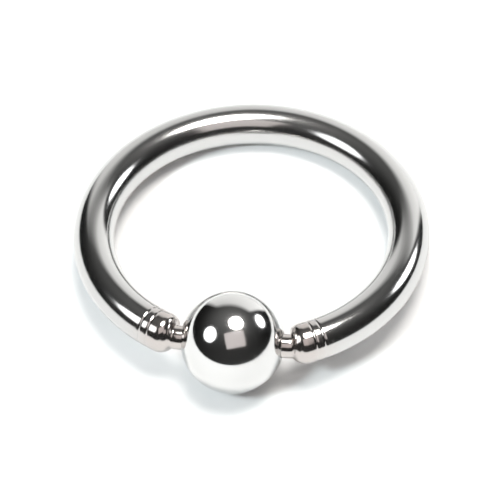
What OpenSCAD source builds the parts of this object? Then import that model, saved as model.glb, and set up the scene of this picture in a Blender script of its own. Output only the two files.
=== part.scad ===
// Captive bead ring, lying on its side. Millimetres, +Z up.
// The floor is z = 0, and the origin lies on it under the middle of the ring's own box.
// The bead is thicker than the wire, so the ring lies on the bead and on the far side of the hoop.

/* [Hoop] */
// Diameter of the wire
wire_d = 2.4; // [2:0.1:3]
// Clear diameter inside the hoop
inner_d = 16; // [13:0.5:22]

/* [Bead] */
// Diameter of the bead
bead_d = 6; // [5:0.1:7]

/* [Wire ends] */
// Diameter of the slim tip on each end, which the bead turns on
tip_d = 1.4; // [0.8:0.05:1.6]
// Length of each tip that shows between the bead and the nose
tip_show = 0.4; // [0.2:0.1:0.8]
// Width of the chamfer round the face of each tip
tip_chamfer = 0.1; // [0.05:0.05:0.25]
// Slope of the nose that leads from the wire down to the tip, in degrees
nose_angle = 58; // [45:1:65]
// Radius that rounds the shoulder between the wire and the nose
nose_round = 0.71; // [0.4:0.01:0.9]

/* [Seats in the bead] */
// Depth of each seat below the bead's surface
seat_depth = 1.1; // [0.8:0.1:1.6]
// Width of the chamfer round the mouth of each seat
seat_chamfer = 0.15; // [0.05:0.05:0.3]
// Running gap round each tip in its seat
tip_play = 0.05; // [0.02:0.01:0.08]
// Gap between the face of each tip and the floor of its seat
end_play = 0.05; // [0.02:0.01:0.1]

/* [Hidden] */
$fn = 96;

STEEL = [0.78, 0.78, 0.80];

wire_r = wire_d / 2;
bead_r = bead_d / 2;
tip_r = tip_d / 2;
hoop_r = inner_d / 2 + wire_r; // radius of the wire's centre line

// A nose is cut from the wire about the wire's own line: a rounded shoulder, then a straight slope
shoulder_steps = 6;
shoulder_len = nose_round * sin(nose_angle);
shoulder_r = wire_r - nose_round * (1 - cos(nose_angle));
nose_len = shoulder_len + (shoulder_r - tip_r) / tan(nose_angle); // from the full wire to the tip
core_r = tip_r / 2; // the slope ends inside the tip, at this radius
core_len = shoulder_len + (shoulder_r - core_r) / tan(nose_angle);
first_slope = nose_angle / shoulder_steps / 2; // angle between the wire and the shoulder's first flat
lead_in = nose_round / 2; // how far the line of that flat runs back outside the wire
lead_r = wire_r + lead_in * tan(first_slope);
stock_len = core_len + tip_r; // extra length of wire that each nose is cut from

// Both tips lie on one line, the seat line, and each nose meets it where its tip starts
tip_start = bead_r + tip_show;
tip_root = tip_start + tip_r;
end_angle = asin(tip_start / norm([hoop_r, nose_len])) + atan(nose_len / hoop_r);
stock_angle = end_angle - atan(stock_len / hoop_r);
seat_line = hoop_r * cos(end_angle) + nose_len * sin(end_angle); // from the hoop's middle to the seat line

// Seats, measured along the seat line from the middle of the bead
seat_r = tip_r + tip_play;
seat_floor = bead_r - seat_depth;
tip_face = seat_floor + end_play;
mouth_r = seat_r + seat_chamfer;
mouth = sqrt(pow(bead_r, 2) - pow(mouth_r, 2));
past_bead = bead_r - mouth; // how far a seat's cutter runs on beyond the mouth

// How the ring lies
lean = asin((bead_r - wire_r) / (seat_line + hoop_r));
middle_z = wire_r + hoop_r * sin(lean);
near_y = seat_line * cos(lean) + bead_r;
far_y = hoop_r * cos(lean) + wire_r;
middle_y = (near_y - far_y) / 2;

// Half outline of what is cut away round a nose and past it: x from the wire's line, y along it
// from the full wire towards the bead
function nose_cut_outline() = [
    [wire_d, -lead_in],
    [lead_r, -lead_in],
    for (i = [1 : shoulder_steps])
        let (turn = nose_angle * i / shoulder_steps)
        [wire_r - nose_round * (1 - cos(turn)), nose_round * sin(turn)],
    [core_r, core_len],
    [0, core_len],
    [0, stock_len + wire_r],
    [wire_d, stock_len + wire_r]
];

// Half outline of a tip: x from the seat line, y along it from the middle of the bead
function tip_outline() = [
    [0, tip_face],
    [tip_r - tip_chamfer, tip_face],
    [tip_r, tip_face + tip_chamfer],
    [tip_r, tip_root],
    [0, tip_root]
];

// Half outline of a seat, measured like a tip's
function seat_outline() = [
    [0, seat_floor],
    [seat_r, seat_floor],
    [seat_r, mouth - seat_chamfer],
    [mouth_r + past_bead, mouth + past_bead],
    [0, mouth + past_bead]
];

// From the hoop's own frame, flat and round its middle, to how the ring lies
module lying() {
    translate([0, middle_y, middle_z]) rotate([-lean, 0, 0]) children();
}

// From a shape turned about Z to the right-hand half of the seat line
module on_seat_line() {
    translate([0, -seat_line, 0]) rotate([0, 90, 0]) children();
}

// From a shape turned about Z to the wire's line at its right-hand end, pointing at the bead
module on_wire_end() {
    rotate([0, 0, end_angle]) translate([0, -hoop_r, 0]) rotate([0, -90, 0]) children();
}

module both_sides() {
    children();
    mirror([1, 0, 0]) children();
}

module wire_arc() {
    rotate([0, 0, stock_angle - 90])
        rotate_extrude(angle = 360 - 2 * stock_angle)
            translate([hoop_r, 0]) circle(r = wire_r);
}

module hoop() {
    color(STEEL) lying() {
        difference() {
            wire_arc();
            both_sides() on_wire_end() rotate_extrude() polygon(nose_cut_outline());
        }
        both_sides() on_seat_line() rotate_extrude() polygon(tip_outline());
    }
}

module bead() {
    color(STEEL) lying() difference() {
        on_seat_line() sphere(r = bead_r);
        both_sides() on_seat_line() rotate_extrude() polygon(seat_outline());
    }
}

hoop();
bead();
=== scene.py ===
"""Looks for the captive bead ring: a polished hoop, its turned bead, and the studio they lie in."""

from math import asin, atan, cos, hypot, pi, radians, sin, tan

import bpy
from mathutils import Matrix, Vector


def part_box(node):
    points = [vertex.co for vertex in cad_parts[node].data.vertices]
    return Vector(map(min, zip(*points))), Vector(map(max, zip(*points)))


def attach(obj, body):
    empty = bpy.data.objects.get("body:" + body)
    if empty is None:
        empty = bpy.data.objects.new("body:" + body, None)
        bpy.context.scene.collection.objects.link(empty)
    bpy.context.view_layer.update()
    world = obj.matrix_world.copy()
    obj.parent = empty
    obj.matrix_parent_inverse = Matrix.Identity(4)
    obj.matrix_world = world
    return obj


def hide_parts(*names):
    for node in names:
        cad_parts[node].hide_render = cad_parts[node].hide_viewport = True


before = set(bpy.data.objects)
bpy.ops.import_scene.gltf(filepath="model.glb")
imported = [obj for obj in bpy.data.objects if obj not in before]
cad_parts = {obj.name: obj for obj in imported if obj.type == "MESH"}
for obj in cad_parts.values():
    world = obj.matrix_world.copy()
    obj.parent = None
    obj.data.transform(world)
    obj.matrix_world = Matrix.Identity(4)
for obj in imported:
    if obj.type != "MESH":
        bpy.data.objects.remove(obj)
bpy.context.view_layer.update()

bl_info = {
    "name": "Captive Bead Ring",
    "version": (1, 0, 0),
    "blender": (4, 5, 0),
    "location": "3D View > Sidebar > Bead Ring",
    "description": "Builds the polished hoop and bead of a captive bead ring, and a studio round them",
    "category": "Object",
}

MM = 0.001
BEAD_LOW, BEAD_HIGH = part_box("bead")
BEAD_SIZE = BEAD_HIGH.z - BEAD_LOW.z


# Sizes and colours

def length(name, text, default, most=0.05):
    """A size in metres that can't be negative."""
    return bpy.props.FloatProperty(
        name=name, description=text, default=default, min=0.0, max=most, precision=6, unit="LENGTH"
    )


def angle(name, text, degrees, low=-180.0, high=180.0):
    """An angle, given here in degrees."""
    return bpy.props.FloatProperty(
        name=name, description=text, default=radians(degrees), min=radians(low), max=radians(high),
        subtype="ANGLE",
    )


def share(name, text, default):
    """A plain number from 0 to 1."""
    return bpy.props.FloatProperty(name=name, description=text, default=default, min=0.0, max=1.0)


def tint(name, text, default):
    """A colour."""
    return bpy.props.FloatVectorProperty(
        name=name, description=text, default=default, min=0.0, max=1.0, size=3, subtype="COLOR"
    )


class RingSizes(bpy.types.PropertyGroup):
    """Sizes that the hoop and the bead share, the same as the CAD's"""

    wire: length("Wire Diameter", "Diameter of the hoop's round wire", 2.4 * MM)
    inside: length("Inside Diameter", "Clear diameter inside the hoop", 16.0 * MM)
    bead: length("Bead Diameter", "Diameter of the bead, read from the packed part", BEAD_SIZE)
    tip: length("Tip Diameter", "Diameter of the slim tip that the bead turns on", 1.4 * MM)
    tip_shows: length("Tip Showing", "Length of tip between the bead and the nose", 0.4 * MM)
    seat_depth: length("Seat Depth", "Depth of each seat below the bead's surface", 1.1 * MM)
    play: length("Running Gap", "Gap round each tip and in front of its face", 0.05 * MM)


class HoopLooks(bpy.types.PropertyGroup):
    """Fine shapes of the wire's two ends"""

    nose_angle: angle("Nose Slope", "Slope that leads from the wire down to the tip", 58.0, 10.0, 80.0)
    shoulder: length("Shoulder Radius", "Radius that rounds the start of the slope", 0.71 * MM)
    collar: length("Collar Length", "Length of the turned collar behind the nose", 0.95 * MM)
    crease: length("Crease Depth", "Depth of the two fine creases of each collar", 0.045 * MM)
    crease_half: length("Crease Half Width", "Half the width of each crease", 0.12 * MM)
    neck_bend: length("Neck Bend Radius", "Radius of the wire's line where it turns into the tip", 1.1 * MM)
    neck_fillet: length("Neck Fillet", "How gently the slope runs out into the tip", 0.1 * MM)
    tip_edge: length("Tip Edge", "Chamfer round the face of each tip", 0.1 * MM)


class BeadLooks(bpy.types.PropertyGroup):
    """Fine shapes of the bead"""

    mouth: length("Mouth Chamfer", "Chamfer round the mouth of each seat", 0.15 * MM)
    edge: length("Edge Radius", "Radius that the polish leaves on each edge of a seat", 0.03 * MM)


class SteelLooks(bpy.types.PropertyGroup):
    """The polished steel"""

    wire_colour: tint("Wire Steel", "Colour of the polished wire", (0.56, 0.556, 0.55))
    # The bead's steel is given a brighter colour than the wire's
    bead_colour: tint("Bead Steel", "Colour of the bead, brighter than the wire's", (0.66, 0.656, 0.65))
    # Painted warm reflection: a warmer, darker steel colour near the wire's ends
    painted_warm_reflection: tint("Painted Warm Reflection", "Painted warm reflection that also darkens the steel near the wire's ends", (0.51, 0.474, 0.456))
    hazy: share("Polish Haze", "How much darker the steel is where its polish is a little hazy", 0.08)
    wire_gloss: share("Wire Roughness", "Roughness of the polished wire", 0.13)
    bead_gloss: share("Bead Roughness", "Roughness of the polished bead", 0.08)
    haze: share("Haze Roughness", "What a hazy patch adds to the roughness", 0.06)


class StudioLooks(bpy.types.PropertyGroup):
    """Camera, floor and light"""

    azimuth: angle("Camera Turn", "Turn of the camera round the ring, to the right of its front", 9.1)
    elevation: angle("Camera Height", "Height of the camera above the floor, as an angle", 51.8, 0.0, 90.0)
    roll: angle("Camera Roll", "How far the camera is held off level, clockwise", 2.7)
    distance: length("Camera Distance", "Distance from the camera to the ring", 0.2712, 5.0)
    lens: bpy.props.FloatProperty(
        name="Lens", description="Focal length in millimetres, on a sensor 36 mm wide",
        default=332.8, min=10.0, max=900.0,
    )
    floor: tint("Floor", "Colour of the plain floor", (0.9, 0.9, 0.9))
    room: share("Room", "Brightness of the dim room near the floor", 0.012)
    room_glow: share("Room Glow", "How much brighter the room is high up, behind the ring", 0.3)
    front_glow: share("Front Glow", "How much brighter the room is in front of the ring", 0.034)


# Numbers that follow from the sizes

def ring_plan(sizes, looks):
    """Radii, turns and places of the ring, from its sizes, in metres and radians."""
    wire_r, bead_r, tip_r = sizes.wire / 2, sizes.bead / 2, sizes.tip / 2
    hoop_r = sizes.inside / 2 + wire_r
    slope = looks.nose_angle
    shoulder_len = looks.shoulder * sin(slope)
    shoulder_r = wire_r - looks.shoulder * (1 - cos(slope))
    nose_len = shoulder_len + (shoulder_r - tip_r) / tan(slope)
    tip_start = bead_r + sizes.tip_shows
    end_angle = asin(tip_start / hypot(hoop_r, nose_len)) + atan(nose_len / hoop_r)
    seat_line = hoop_r * cos(end_angle) + nose_len * sin(end_angle)
    seat_floor = bead_r - sizes.seat_depth
    lean = asin((bead_r - wire_r) / (seat_line + hoop_r))
    near_y = seat_line * cos(lean) + bead_r
    far_y = hoop_r * cos(lean) + wire_r
    return {
        "wire_r": wire_r, "bead_r": bead_r, "tip_r": tip_r, "hoop_r": hoop_r,
        "shoulder_len": shoulder_len, "nose_len": nose_len, "tip_start": tip_start,
        "end_angle": end_angle, "seat_line": seat_line, "seat_floor": seat_floor,
        "seat_r": tip_r + sizes.play, "tip_face": seat_floor + sizes.play, "lean": lean,
        "place": Vector((0.0, (near_y - far_y) / 2, wire_r + hoop_r * sin(lean))),
    }


def lying(plan):
    """From the hoop's own flat frame to how the ring lies."""
    return Matrix.Translation(plan["place"]) @ Matrix.Rotation(-plan["lean"], 4, "X")


# Node trees

class Number:
    """A number inside a node tree. Each sum or product with it adds the Math node that works it out."""

    def __init__(self, tree, socket):
        self.tree, self.socket = tree, socket

    def math(self, operation, *others):
        made = node(self.tree, "ShaderNodeMath", {"operation": operation})
        for slot, item in enumerate((self, *others)):
            wire(self.tree, made.inputs[slot], item)
        return Number(self.tree, made.outputs[0])

    def __add__(self, other):
        return self.math("ADD", other)

    def __sub__(self, other):
        return self.math("SUBTRACT", other)

    def __mul__(self, other):
        return self.math("MULTIPLY", other)

    def __truediv__(self, other):
        return self.math("DIVIDE", other)

    def at_most(self, other):
        return self.math("MINIMUM", other)

    def at_least(self, other):
        return self.math("MAXIMUM", other)

    def size(self):
        return self.math("ABSOLUTE")

    def sine(self):
        return self.math("SINE")

    def cosine(self):
        return self.math("COSINE")


def node(tree, kind, settings=(), **wires):
    """A new node with its settings, and its inputs given by name as a value, a socket or a Number."""
    made = tree.nodes.new(kind)
    for key, value in dict(settings).items():
        setattr(made, key, value)
    for name, value in wires.items():
        wire(tree, made.inputs[name.replace("_", " ")], value)
    return made


def wire(tree, socket, value):
    """Links a socket or a Number to a node's input, or sets the input to a plain value."""
    if isinstance(value, Number):
        value = value.socket
    if isinstance(value, bpy.types.NodeSocket):
        tree.links.new(value, socket)
    else:
        socket.default_value = value


def new_tree(name, inputs):
    """An empty Geometry Nodes tree with these named inputs: (name, kind of socket, default)."""
    tree = bpy.data.node_groups.new(name, "GeometryNodeTree")
    tree.interface.new_socket("Geometry", in_out="OUTPUT", socket_type="NodeSocketGeometry")
    for title, kind, default in inputs:
        tree.interface.new_socket(title, in_out="INPUT", socket_type=kind).default_value = default
    return tree


def noted(tree, shape, name, value, kind="FLOAT"):
    """The shape with a value kept on its points, as a named attribute."""
    made = node(
        tree, "GeometryNodeStoreNamedAttribute", {"data_type": kind, "domain": "POINT"},
        Geometry=shape, Name=name, Value=value,
    )
    return made.outputs[0]


# The hoop's tree

# Steps from the far middle of the line to where the fine ones start, fine steps, and sides of the section
STEPS = {"Arc Steps": 110, "End Steps": 150, "Section Sides": 112}
FINE_REACH = 1.5  # the fine steps start this many collar lengths before the nose
CREASES = (0.5, 1.0)  # how far before the nose each crease lies, in collar lengths


def hoop_inputs(plan, looks, material):
    """The inputs of the hoop's tree: (name, kind of socket, default)."""
    bend_cut = looks.neck_bend * tan(plan["end_angle"] / 2)
    lengths_and_turns = {
        "Hoop Radius": plan["hoop_r"],
        "Wire Radius": plan["wire_r"],
        "Tip Radius": plan["tip_r"],
        "Arc Turn": pi - plan["end_angle"],
        "End Turn": plan["end_angle"],
        "Nose Straight": plan["nose_len"] - bend_cut,
        "Neck Bend": looks.neck_bend,
        "Tip Straight": plan["tip_start"] - bend_cut - plan["tip_face"],
        "Shoulder Radius": looks.shoulder,
        "Shoulder Length": plan["shoulder_len"],
        "Nose Rise": tan(looks.nose_angle),
        "Collar Length": looks.collar,
        "Crease Depth": looks.crease,
        "Crease Half Width": looks.crease_half,
        "Neck Fillet": looks.neck_fillet,
        "Tip Edge": looks.tip_edge,
    }
    return [
        *((title, "NodeSocketFloat", value) for title, value in lengths_and_turns.items()),
        *((title, "NodeSocketInt", value) for title, value in STEPS.items()),
        ("Material", "NodeSocketMaterial", material),
    ]


def station_count(size):
    """How many stations the hoop's line has, one of them in its far middle."""
    return (size["Arc Steps"] + size["End Steps"]) * 2.0 + 1.0


def stations(tree, size):
    """How far each station is along the line from its far middle, and on which side of it.

    The steps are wide round the arc, and fine from just before the collar to the tip's face.
    """
    arc_steps, end_steps = size["Arc Steps"], size["End Steps"]
    fine_start = size["Arc Length"] - size["Collar Length"] * FINE_REACH
    index = Number(tree, node(tree, "GeometryNodeInputIndex").outputs[0])
    station = index - (arc_steps + end_steps)
    steps_out = station.size()
    fine_step = (size["Half Length"] - fine_start) / end_steps
    along = steps_out.at_most(arc_steps) * (fine_start / arc_steps)
    along = along + (steps_out - arc_steps).at_least(0.0) * fine_step
    return along, station.math("SIGN")


def station_place(tree, size, along, side):
    """A station's place in the flat hoop: round the arc, straight through the nose, a short bend, the tip."""
    hoop_r, bend_r, nose_straight = size["Hoop Radius"], size["Neck Bend"], size["Nose Straight"]
    turn = (along / hoop_r).at_most(size["Arc Turn"])
    past_arc = (along - size["Arc Length"]).at_least(0.0)
    in_nose = past_arc.at_most(nose_straight)
    in_bend = ((past_arc - nose_straight).at_least(0.0) / bend_r).at_most(size["End Turn"])
    in_tip = (past_arc - nose_straight - size["Bend Length"]).at_least(0.0)
    heading = turn + in_bend
    across = hoop_r * turn.sine() + in_nose * turn.cosine()
    across = across + bend_r * (heading.sine() - turn.sine()) + in_tip * heading.cosine()
    back = hoop_r * turn.cosine() - in_nose * turn.sine()
    back = back + bend_r * (heading.cosine() - turn.cosine()) - in_tip * heading.sine()
    return node(tree, "ShaderNodeCombineXYZ", X=across * side, Y=back).outputs[0]


def thickness(size, along):
    """The wire's radius at a station: its full size, the rounded shoulder, the slope, then the tip."""
    past_arc = (along - size["Arc Length"]).at_least(0.0)
    rounding = size["Shoulder Radius"]
    on_shoulder = past_arc.at_most(size["Shoulder Length"])
    thick = (rounding * rounding - on_shoulder * on_shoulder).math("SQRT") - rounding + size["Wire Radius"]
    thick = thick - (past_arc - on_shoulder) * size["Nose Rise"]
    thick = thick.math("SMOOTH_MAX", size["Tip Radius"], size["Neck Fillet"])
    thick = thick.at_most(size["Half Length"] - along + size["Tip Radius"] - size["Tip Edge"])
    for collars in CREASES:
        crease_at = size["Arc Length"] - size["Collar Length"] * collars
        away = ((along - crease_at).size() / size["Crease Half Width"]).at_most(1.0)
        open_share = (away * -1.0) + 1.0
        thick = thick - open_share * open_share * size["Crease Depth"]
    return thick


def swept_hoop_tree(plan, looks, material):
    """A tree that sweeps a round section along the hoop's line, from one tip's face to the other's."""
    tree = new_tree("Swept Hoop", hoop_inputs(plan, looks, material))
    given = node(tree, "NodeGroupInput")
    size = {socket.name: Number(tree, socket) for socket in given.outputs if socket.type in ("VALUE", "INT")}
    size["Arc Length"] = size["Hoop Radius"] * size["Arc Turn"]
    size["Bend Length"] = size["Neck Bend"] * size["End Turn"]
    past_arc_len = size["Nose Straight"] + size["Bend Length"] + size["Tip Straight"]
    size["Half Length"] = size["Arc Length"] + past_arc_len

    along, side = stations(tree, size)
    place = station_place(tree, size, along, side)
    row = node(
        tree, "GeometryNodeMeshLine", {"mode": "OFFSET"}, Count=station_count(size), Offset=(0.0, 0.0, MM)
    )
    laid = node(tree, "GeometryNodeSetPosition", Geometry=row.outputs[0], Position=place)
    line = node(tree, "GeometryNodeMeshToCurve", Mesh=laid.outputs[0])
    flat = node(tree, "GeometryNodeSetCurveNormal", {"mode": "Z_UP"}, Curve=line.outputs[0])
    path = noted(tree, flat.outputs[0], "wire_along", along * side)
    path = noted(tree, path, "wire_thick", thickness(size, along))
    thick_there = node(tree, "GeometryNodeInputNamedAttribute", {"data_type": "FLOAT"}, Name="wire_thick")

    # The section carries its own place, so that a pattern can follow the wire
    circle = node(
        tree, "GeometryNodeCurvePrimitiveCircle", {"mode": "RADIUS"},
        Resolution=size["Section Sides"], Radius=1.0,
    )
    own_place = node(tree, "GeometryNodeInputPosition").outputs[0]
    section = noted(tree, circle.outputs[0], "wire_section", own_place, "FLOAT_VECTOR")
    tube = node(
        tree, "GeometryNodeCurveToMesh", Curve=path, Profile_Curve=section,
        Scale=thick_there.outputs["Attribute"], Fill_Caps=True,
    )
    smooth = node(tree, "GeometryNodeSetShadeSmooth", {"domain": "FACE"}, Geometry=tube.outputs[0])
    real = node(tree, "GeometryNodeRealizeInstances", Geometry=smooth.outputs[0])
    painted = node(
        tree, "GeometryNodeSetMaterial", Geometry=real.outputs[0], Material=given.outputs["Material"]
    )
    node(tree, "NodeGroupOutput", Geometry=painted.outputs[0])
    return tree


def mesh_from_tree(name, tree):
    """A plain mesh object made by a Geometry Nodes tree."""
    carrier = bpy.data.objects.new(name + "_tree", bpy.data.meshes.new(name + "_tree"))
    bpy.context.scene.collection.objects.link(carrier)
    modifier = carrier.modifiers.new("Build", "NODES")
    modifier.node_group = tree
    for item in tree.interface.items_tree:
        if item.item_type == "SOCKET" and item.in_out == "INPUT":
            modifier[item.identifier] = item.default_value
    seen = carrier.evaluated_get(bpy.context.evaluated_depsgraph_get())
    mesh = bpy.data.meshes.new_from_object(seen)
    mesh.name = name
    bpy.data.objects.remove(carrier)
    made = bpy.data.objects.new(name, mesh)
    bpy.context.scene.collection.objects.link(made)
    return made


# Steel

# The polish. Each grain is in cells a metre with its detail, each band is the stretch of noise over which a
# patch of haze or a polishing line comes in, and waves and lines have their shares in the relief
POLISH = {
    "haze_grain": 260.0, "haze_detail": 3.0, "haze_band": (0.42, 0.7),
    "line_grain": 5200.0, "line_detail": 2.0, "line_band": (0.55, 0.8), "line_roughness": 0.05,
    "wave_grain": 900.0, "wave_detail": 1.0, "wave_share": 0.6, "line_share": 0.02,
    "relief": 0.012 * MM, "relief_strength": 0.35,
}
DRAWN_OUT = (1.0, 1.0, 0.16)  # the wire's polish runs along it
EVEN = (1.0, 1.0, 1.0)
# The painted warm reflection, which also darkens the steel, starts this far before the nose, and is full this
# far before it
PAINTED_WARMTH_START, PAINTED_WARMTH_FULL = 2.4 * MM, 0.2 * MM


def shader(name):
    """A new material, its tree and its Principled shader."""
    material = bpy.data.materials.new(name)
    material.use_nodes = True
    return material, material.node_tree, material.node_tree.nodes["Principled BSDF"]


def noise(tree, place, grain, detail, stretch=EVEN):
    """Noise of this many cells a metre, drawn out along an axis whose stretch is under 1."""
    spread = node(tree, "ShaderNodeMapping", Vector=place, Scale=stretch)
    made = node(tree, "ShaderNodeTexNoise", Vector=spread.outputs[0], Scale=grain, Detail=detail)
    return Number(tree, made.outputs[0])


def between(tree, value, low, high, low_out=0.0, high_out=1.0):
    """value taken from its own range to another, and held at the ends."""
    made = node(
        tree, "ShaderNodeMapRange",
        Value=value, From_Min=low, From_Max=high, To_Min=low_out, To_Max=high_out,
    )
    return Number(tree, made.outputs[0])


def blend_colours(tree, amount, low, high):
    """A colour between low and high, each three numbers or a socket."""
    made = tree.nodes.new("ShaderNodeMix")
    made.data_type = "RGBA"
    wire(tree, made.inputs["Factor"], amount)
    for socket, value in zip([s for s in made.inputs if s.type == "RGBA"], (low, high)):
        wire(tree, socket, value if isinstance(value, bpy.types.NodeSocket) else (*value, 1.0))
    return [s for s in made.outputs if s.type == "RGBA"][0]


def polished_steel(name, steel, colour, gloss, place_of, stretch, painted_warmth_of=None):
    """Mirror-polished steel with patches of faint haze, fine polishing lines, a slow waviness and, when
    asked, a painted warm reflection that darkens it near the wire's ends.
    """
    material, tree, principled = shader(name)
    place = place_of(tree)
    patches = noise(tree, place, POLISH["haze_grain"], POLISH["haze_detail"], stretch)
    haze = between(tree, patches, *POLISH["haze_band"])
    lines = noise(tree, place, POLISH["line_grain"], POLISH["line_detail"], stretch)
    dull = tuple(part * (1 - steel.hazy) for part in colour)
    colour = blend_colours(tree, haze, tuple(colour), dull)
    # Near the wire's ends the steel's colour is blended to a painted warm reflection, which also darkens it
    if painted_warmth_of:
        colour = blend_colours(tree, painted_warmth_of(tree), colour, tuple(steel.painted_warm_reflection))
    wire(tree, principled.inputs["Base Color"], colour)
    principled.inputs["Metallic"].default_value = 1.0
    rough = between(tree, haze, 0.0, 1.0, gloss, gloss + steel.haze)
    rough = rough + between(tree, lines, *POLISH["line_band"], 0.0, POLISH["line_roughness"])
    wire(tree, principled.inputs["Roughness"], rough)
    waves = noise(tree, place, POLISH["wave_grain"], POLISH["wave_detail"], stretch)
    bump = node(
        tree, "ShaderNodeBump", Strength=POLISH["relief_strength"], Distance=POLISH["relief"],
        Height=waves * POLISH["wave_share"] + lines * POLISH["line_share"],
    )
    wire(tree, principled.inputs["Normal"], bump.outputs["Normal"])
    return material


def along_wire(tree):
    """Distance along the wire from its far middle, below zero on the left side."""
    return node(tree, "ShaderNodeAttribute", {"attribute_name": "wire_along"}).outputs["Fac"]


def wire_place(tree):
    """Place on the wire as if it were straight: its section across, and its length along Z."""
    section = node(tree, "ShaderNodeAttribute", {"attribute_name": "wire_section"})
    across = node(tree, "ShaderNodeVectorMath", {"operation": "SCALE"}, Vector=section.outputs["Vector"])
    wire(tree, across.inputs["Scale"], bpy.context.scene.ring_sizes.wire / 2)
    parts = node(tree, "ShaderNodeSeparateXYZ", Vector=across.outputs[0])
    joined = node(tree, "ShaderNodeCombineXYZ", X=parts.outputs[0], Y=parts.outputs[1], Z=along_wire(tree))
    return joined.outputs[0]


def object_place(tree):
    """Place in the object's own coordinates."""
    return node(tree, "ShaderNodeTexCoord").outputs["Object"]


# The two pieces

BALL_STEPS, BEAD_SIDES = 150, 256
CORNER_STEPS = 6
MOST_ROUNDED = 0.45  # share of a straight stretch that one rounded corner may take up


def settings():
    """The sizes, the hoop's looks and the steel."""
    return bpy.context.scene.ring_sizes, bpy.context.scene.ring_hoop, bpy.context.scene.ring_steel


def build_hoop():
    """The whole hoop in one swept skin: wire, collars, noses and tips."""
    sizes, looks, steel = settings()
    plan = ring_plan(sizes, looks)
    arc_len = plan["hoop_r"] * (pi - plan["end_angle"])

    # How much painted warm reflection the wire's steel gets, rising towards its ends
    def painted_warmth_near_ends(tree):
        along = Number(tree, along_wire(tree)).size()
        reach = between(tree, along, arc_len - PAINTED_WARMTH_START, arc_len - PAINTED_WARMTH_FULL)
        return reach * reach

    material = polished_steel(
        "hoop_steel", steel, steel.wire_colour, steel.wire_gloss, wire_place, DRAWN_OUT, painted_warmth_near_ends
    )
    hoop = mesh_from_tree("polished_hoop", swept_hoop_tree(plan, looks, material))
    hoop.data.transform(lying(plan))
    hoop.data.update()
    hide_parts("hoop")
    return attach(hoop, "ring")


def rounded(corners, radius):
    """An open line of points with each inner corner rounded."""
    line = [corners[0]]
    for before, corner, after in zip(corners, corners[1:], corners[2:]):
        into, out = (before - corner), (after - corner)
        cut = min(radius, into.length * MOST_ROUNDED, out.length * MOST_ROUNDED)
        start, end = corner + into.normalized() * cut, corner + out.normalized() * cut
        for step in range(CORNER_STEPS + 1):
            done = step / CORNER_STEPS
            line.append(start.lerp(corner, done).lerp(corner.lerp(end, done), done))
    return line + [corners[-1]]


def turned_mesh(name, outline, sides):
    """A closed solid turned about X from an outline of (along, radius) whose two ends lie on the axis."""
    rows = outline[1:-1]
    points = [Vector((outline[0].x, 0.0, 0.0))]
    for row in rows:
        for k in range(sides):
            turn = 2 * pi * k / sides
            points.append(Vector((row.x, row.y * cos(turn), row.y * sin(turn))))
    points.append(Vector((outline[-1].x, 0.0, 0.0)))
    last = len(points) - 1
    faces = []
    for k in range(sides):
        following = (k + 1) % sides
        faces.append((0, 1 + following, 1 + k))
        for row in range(len(rows) - 1):
            low, high = 1 + row * sides, 1 + (row + 1) * sides
            faces.append((low + k, low + following, high + following, high + k))
        top = 1 + (len(rows) - 1) * sides
        faces.append((last, top + k, top + following))
    mesh = bpy.data.meshes.new(name)
    mesh.from_pydata(points, [], faces)
    mesh.update()
    mesh.shade_smooth()
    return mesh


def bead_outline(plan, looks):
    """The bead's half outline: the right-hand seat from its floor to its mouth, the ball, the left seat."""
    bead_r, seat_r, seat_floor = plan["bead_r"], plan["seat_r"], plan["seat_floor"]
    mouth_r = seat_r + looks.mouth
    mouth = (bead_r ** 2 - mouth_r ** 2) ** 0.5
    mouth_turn = asin(mouth_r / bead_r)
    seat = [
        Vector((seat_floor, 0.0)),
        Vector((seat_floor, seat_r)),
        Vector((mouth - looks.mouth, seat_r)),
        Vector((mouth, mouth_r)),
    ]
    ball = []
    for step in range(1, BALL_STEPS - 1):
        turn = mouth_turn + (pi - 2 * mouth_turn) * step / BALL_STEPS
        ball.append(Vector((bead_r * cos(turn), bead_r * sin(turn))))
    right_seat = rounded(seat + ball[:1], looks.edge)
    left_seat = [Vector((-p.x, p.y)) for p in reversed(right_seat[:-1])]
    return right_seat + ball[1:] + left_seat


def build_bead():
    """The bead, turned about its seat line, with a drilled seat at each end."""
    sizes, hoop_looks, steel = settings()
    plan = ring_plan(sizes, hoop_looks)
    outline = bead_outline(plan, bpy.context.scene.ring_bead)
    mesh = turned_mesh("polished_bead", outline, BEAD_SIDES)
    mesh.transform(lying(plan) @ Matrix.Translation((0.0, -plan["seat_line"], 0.0)))
    mesh.materials.append(
        polished_steel("bead_steel", steel, steel.bead_colour, steel.bead_gloss, object_place, EVEN)
    )
    mesh.update()
    bead = bpy.data.objects.new("polished_bead", mesh)
    bpy.context.scene.collection.objects.link(bead)
    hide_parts("bead")
    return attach(bead, "bead")


# Studio

# Each light's turn and height as seen from the ring, in degrees, with 0 straight away from the camera and
# right positive; how wide and tall it looks, in degrees; how bright it makes the floor; its colour and shape
LIGHTS = (
    ("overhead", 66.0, 81.0, 28.0, 28.0, 0.85, (1.0, 0.98, 0.95), "DISK"),
    ("key", -128.0, 49.0, 10.0, 10.0, 0.36, (0.86, 0.97, 1.0), "DISK"),
    ("left", -100.5, 40.0, 32.0, 30.0, 0.12, (0.98, 0.99, 1.0), "ELLIPSE"),
    ("right", 67.0, 27.0, 25.0, 21.0, 0.07, (0.98, 0.99, 1.0), "ELLIPSE"),
    ("window", 170.0, 56.5, 43.0, 36.0, 0.105, (1.0, 0.92, 0.90), "RECTANGLE"),
)
UNMIRRORED = "key"  # this light throws a shadow, and the steel doesn't mirror it
LIGHT_DISTANCE = 0.7
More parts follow.
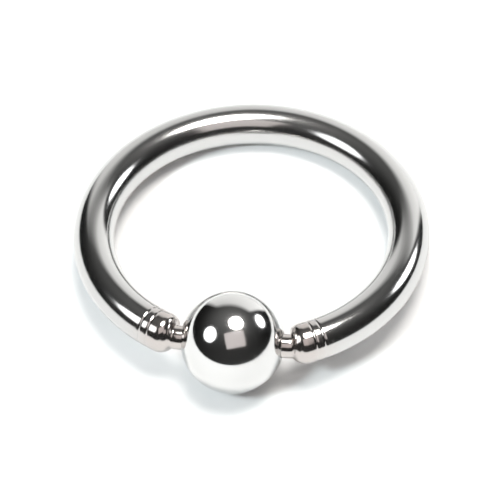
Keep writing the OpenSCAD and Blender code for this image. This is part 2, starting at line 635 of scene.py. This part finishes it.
# The bright wall behind the ring, in tangents of the angles across and up that it covers. Its top edge
# climbs to the right, each edge fades over twice its softness, and it grows brighter to the right and
# dimmer upwards
BACK_WALL = {
    "left": -0.5, "right": 0.92, "side_soft": 0.08, "top": 0.8, "top_climb": 0.28, "top_soft": 0.17,
    "brightness": 1.3, "across_gain": 0.37, "up_gain": -0.5,
}
ROOM_COLOUR = (1.0, 1.0, 0.985, 1.0)
LEAST_AHEAD = 0.001  # keeps the wall's tangents finite beside the ring and in front of it
FLOOR_HALF = 20.0
PAPER = {"grain": 1500.0, "detail": 2.0, "band": (0.3, 0.7), "darkest": 0.99, "roughness": 0.9, "shine": 0.1}
CAMERA_AIM = Vector((-0.00013, 0.00067, 0.00054))  # what the camera looks at, close to the ring's middle
SENSOR_WIDTH = 36.0


def towards(studio, turn, height):
    """Unit direction from the ring: its turn clockwise from straight away from the camera, and its height."""
    heading = studio.azimuth
    right = Vector((cos(heading), sin(heading), 0.0))
    away = Vector((-sin(heading), cos(heading), 0.0))
    level = right * sin(turn) + away * cos(turn)
    return level * cos(height) + Vector((0.0, 0.0, 1.0)) * sin(height)


def facing(direction):
    """The turn of a lamp or a camera that points this way."""
    return direction.to_track_quat("-Z", "Y").to_matrix().to_4x4()


def area_light(name, place, target, width, tall, watts, colour, shape):
    """A soft light that shines at the target and that the camera doesn't see."""
    lamp = bpy.data.lights.new(name, "AREA")
    lamp.shape, lamp.size, lamp.energy, lamp.color = shape, width, watts, colour
    if shape in ("RECTANGLE", "ELLIPSE"):
        lamp.size_y = tall
    holder = bpy.data.objects.new(name, lamp)
    holder.matrix_world = Matrix.Translation(place) @ facing(target - place)
    holder.visible_camera = False
    bpy.context.scene.collection.objects.link(holder)
    return holder


def build_lights(studio):
    """The lights, each as strong as it needs to be to make the floor as bright as LIGHTS says."""
    floor_tone = studio.floor[0]
    for name, turn, height, width, tall, brightness, colour, shape in LIGHTS:
        place = towards(studio, radians(turn), radians(height)) * LIGHT_DISTANCE
        watts = brightness * pi ** 2 * LIGHT_DISTANCE ** 2 / (floor_tone * sin(radians(height)))
        across, up = (2 * LIGHT_DISTANCE * tan(radians(size / 2)) for size in (width, tall))
        lamp = area_light(name + "_light", place, Vector(), across, up, watts, colour, shape)
        lamp.visible_glossy = name != UNMIRRORED


def build_room(studio):
    """A dim room, a little lighter high up behind the ring and low in front of it, and the bright wall."""
    world = bpy.data.worlds.new("room")
    world.use_nodes = True
    tree = world.node_tree
    way = node(tree, "ShaderNodeTexCoord").outputs["Generated"]

    def part(direction):
        dot = node(tree, "ShaderNodeVectorMath", {"operation": "DOT_PRODUCT"}, Vector=way)
        dot.inputs[1].default_value = direction
        return Number(tree, dot.outputs["Value"])

    up = part((0.0, 0.0, 1.0)).at_least(0.0)
    right, away = part(towards(studio, pi / 2, 0.0)), part(towards(studio, 0.0, 0.0))
    behind = away * 0.5 + 0.5
    dim = up * up * up * behind * studio.room_glow + studio.room
    dim = dim + (away * -1.0).at_least(0.0) * studio.front_glow
    ahead = away.at_least(LEAST_AHEAD)
    across, rise = right / ahead, up / ahead
    bright = wall_shape(tree, across, rise) * (
        across * BACK_WALL["across_gain"] + rise * BACK_WALL["up_gain"] + BACK_WALL["brightness"]
    )
    background = tree.nodes["Background"]
    wire(tree, background.inputs["Color"], ROOM_COLOUR)
    wire(tree, background.inputs["Strength"], dim + bright)
    bpy.context.scene.world = world


def wall_shape(tree, across, rise):
    """1 on the back wall, 0 beside and above it, and between them on its soft edges."""
    side_soft, top_soft = BACK_WALL["side_soft"], BACK_WALL["top_soft"]
    left, right, top = BACK_WALL["left"], BACK_WALL["right"], BACK_WALL["top"]
    inside = between(tree, across, left - side_soft, left + side_soft)
    inside = inside * between(tree, across, right + side_soft, right - side_soft)
    level_rise = rise - across * BACK_WALL["top_climb"]
    return inside * between(tree, level_rise, top + top_soft, top - top_soft)


def build_floor(studio):
    """A plain floor of pale paper with a faint grain."""
    corners = [(-1, -1), (1, -1), (1, 1), (-1, 1)]
    mesh = bpy.data.meshes.new("floor")
    mesh.from_pydata([(x * FLOOR_HALF, y * FLOOR_HALF, 0.0) for x, y in corners], [], [(0, 1, 2, 3)])
    material, tree, principled = shader("floor_paper")
    fibres = noise(tree, object_place(tree), PAPER["grain"], PAPER["detail"])
    grain = between(tree, fibres, *PAPER["band"], PAPER["darkest"], 1.0)
    tone = node(tree, "ShaderNodeVectorMath", {"operation": "SCALE"}, Vector=tuple(studio.floor))
    wire(tree, tone.inputs["Scale"], grain)
    wire(tree, principled.inputs["Base Color"], tone.outputs[0])
    principled.inputs["Roughness"].default_value = PAPER["roughness"]
    principled.inputs["Specular IOR Level"].default_value = PAPER["shine"]
    mesh.materials.append(material)
    floor = bpy.data.objects.new("floor", mesh)
    bpy.context.scene.collection.objects.link(floor)


def build_camera(studio):
    """The camera, in front of the ring and above it."""
    lens = bpy.data.cameras.new("camera")
    lens.lens, lens.sensor_width = studio.lens, SENSOR_WIDTH
    lens.clip_start, lens.clip_end = 0.01, 50.0
    back = towards(studio, pi, studio.elevation)
    place = Matrix.Translation(CAMERA_AIM + back * studio.distance)
    holder = bpy.data.objects.new("camera", lens)
    holder.matrix_world = place @ (facing(-back) @ Matrix.Rotation(-studio.roll, 4, "Z"))
    bpy.context.scene.collection.objects.link(holder)
    bpy.context.scene.camera = holder


def build_studio():
    """Everything round the ring, and plain colours in the picture."""
    studio = bpy.context.scene.ring_studio
    build_floor(studio)
    build_lights(studio)
    build_room(studio)
    build_camera(studio)
    bpy.context.scene.view_settings.view_transform = "Standard"


# Operators, panel and registration

class RING_OT_hoop(bpy.types.Operator):
    """Build the polished hoop in place of the CAD's"""

    bl_idname = "ring.hoop"
    bl_label = "Build Hoop"

    def execute(self, context):
        build_hoop()
        return {"FINISHED"}


class RING_OT_bead(bpy.types.Operator):
    """Build the polished bead in place of the CAD's"""

    bl_idname = "ring.bead"
    bl_label = "Build Bead"

    def execute(self, context):
        build_bead()
        return {"FINISHED"}


class RING_OT_studio(bpy.types.Operator):
    """Build the floor, the lights, the room and the camera"""

    bl_idname = "ring.studio"
    bl_label = "Build Studio"

    def execute(self, context):
        build_studio()
        return {"FINISHED"}


class RING_PT_panel(bpy.types.Panel):
    """Sizes, colours and the buttons that build each piece"""

    bl_label = "Bead Ring"
    bl_idname = "RING_PT_panel"
    bl_space_type = "VIEW_3D"
    bl_region_type = "UI"
    bl_category = "Bead Ring"

    def draw(self, context):
        for name, group in GROUPS:
            box = self.layout.box()
            box.label(text=group.__doc__)
            for value in group.__annotations__:
                box.prop(getattr(context.scene, name), value)
        for operator in OPERATORS:
            self.layout.operator(operator.bl_idname)


GROUPS = (
    ("ring_sizes", RingSizes),
    ("ring_hoop", HoopLooks),
    ("ring_bead", BeadLooks),
    ("ring_steel", SteelLooks),
    ("ring_studio", StudioLooks),
)
OPERATORS = (RING_OT_hoop, RING_OT_bead, RING_OT_studio)


def register():
    for name, group in GROUPS:
        bpy.utils.register_class(group)
        setattr(bpy.types.Scene, name, bpy.props.PointerProperty(type=group))
    for made in (*OPERATORS, RING_PT_panel):
        bpy.utils.register_class(made)


def unregister():
    for made in (RING_PT_panel, *reversed(OPERATORS)):
        bpy.utils.unregister_class(made)
    for name, group in reversed(GROUPS):
        delattr(bpy.types.Scene, name)
        bpy.utils.unregister_class(group)


def main():
    register()
    bpy.ops.ring.hoop()
    bpy.ops.ring.bead()
    bpy.ops.ring.studio()


if __name__ == "__main__":
    main()
